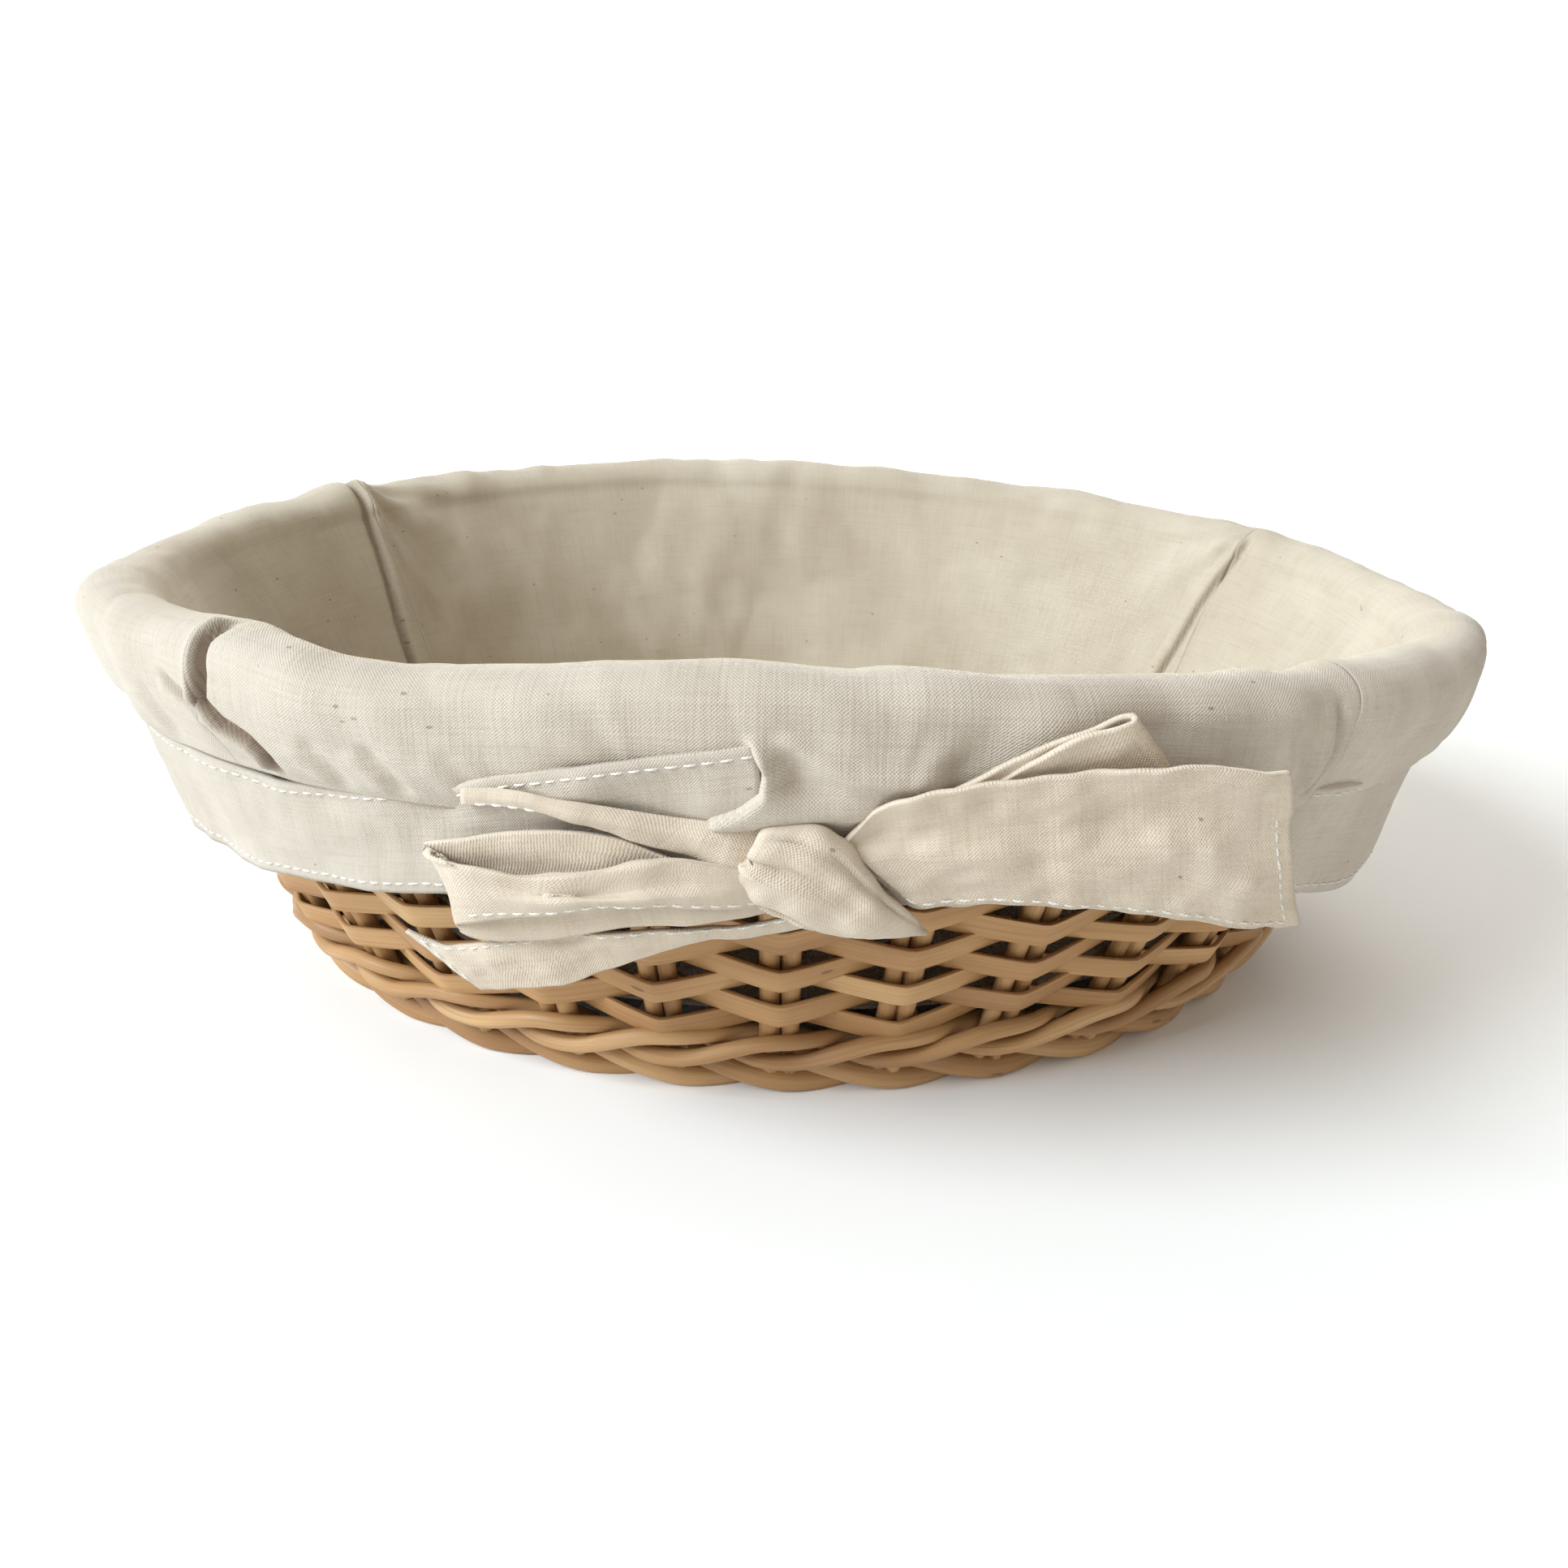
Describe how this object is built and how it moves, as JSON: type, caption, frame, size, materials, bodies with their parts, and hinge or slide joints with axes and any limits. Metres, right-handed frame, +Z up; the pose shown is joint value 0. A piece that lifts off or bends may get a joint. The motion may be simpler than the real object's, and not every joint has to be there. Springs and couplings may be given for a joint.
{
  "type": "bread basket",
  "caption": "Oval woven willow bread basket with flared sides, a tied cloth liner folded over the rim, and a bow on the front.",
  "frame": {"origin": "centre of the oval foot, on the surface that the basket stands on", "axes": "+X along the basket's length, -Y towards the front where the bow is tied, +Z up"},
  "size_m": [0.3339, 0.252, 0.104],
  "materials": {
    "willow_rod": "peeled round willow rod, unvarnished, satin",
    "split_willow": "flat split willow with fine lengthwise grain, satin",
    "linen_outside": "plain-weave linen and cotton cloth, natural, with slubs and specks",
    "linen_inside": "the same plain-weave cloth, seen inside the basket"
  },
  "bodies": {
    "basket": {"base_long_sticks": "willow_rod", "base_cross_sticks": "willow_rod", "side_stakes": "willow_rod", "base_ring_1": "split_willow", "base_ring_2": "split_willow", "base_ring_3": "split_willow", "base_ring_4": "split_willow", "base_ring_5": "split_willow", "base_ring_6": "split_willow", "base_ring_7": "split_willow", "base_ring_8": "split_willow", "foot_rod_1": "willow_rod", "foot_rod_2": "willow_rod", "foot_rod_3": "willow_rod", "waling_rod_1": "willow_rod", "waling_rod_2": "willow_rod", "waling_rod_3": "willow_rod", "weaver_row_1": "split_willow", "weaver_row_2": "split_willow", "weaver_row_3": "split_willow", "weaver_row_4": "split_willow", "weaver_row_5": "split_willow", "weaver_row_6": "split_willow", "weaver_row_7": "split_willow", "weaver_row_8": "split_willow", "weaver_row_9": "split_willow", "weaver_row_10": "split_willow", "weaver_row_11": "split_willow", "weaver_row_12": "split_willow", "weaver_row_13": "split_willow", "weaver_row_14": "split_willow", "rim_rod_1": "willow_rod", "rim_rod_2": "willow_rod", "rim_rod_3": "willow_rod"},
    "liner": {"liner_bottom": "linen_inside", "liner_wall_front": "linen_inside", "liner_wall_right": "linen_inside", "liner_wall_back": "linen_inside", "liner_wall_left": "linen_inside", "liner_cuff_front": "linen_outside", "liner_cuff_right": "linen_outside", "liner_cuff_back": "linen_outside", "liner_cuff_left": "linen_outside", "casing_band_left": "linen_outside", "casing_band_right": "linen_outside", "tie_strap_left": "linen_outside", "tie_strap_right": "linen_outside", "bow_knot": "linen_outside", "bow_loop_left": "linen_outside", "bow_loop_right": "linen_outside", "bow_tail_left": "linen_outside", "bow_tail_right": "linen_outside"}
  },
  "joints": [
    {"name": "liner_lift", "type": "slide", "parent": "basket", "child": "liner", "axis": [0, 0, 1], "range_m": [0, 0.12], "deforming": ["liner_cuff_front", "liner_cuff_right", "liner_cuff_back", "liner_cuff_left", "casing_band_left", "casing_band_right", "tie_strap_left", "tie_strap_right", "bow_knot", "bow_loop_left", "bow_loop_right", "bow_tail_left", "bow_tail_right"]}
  ]
}
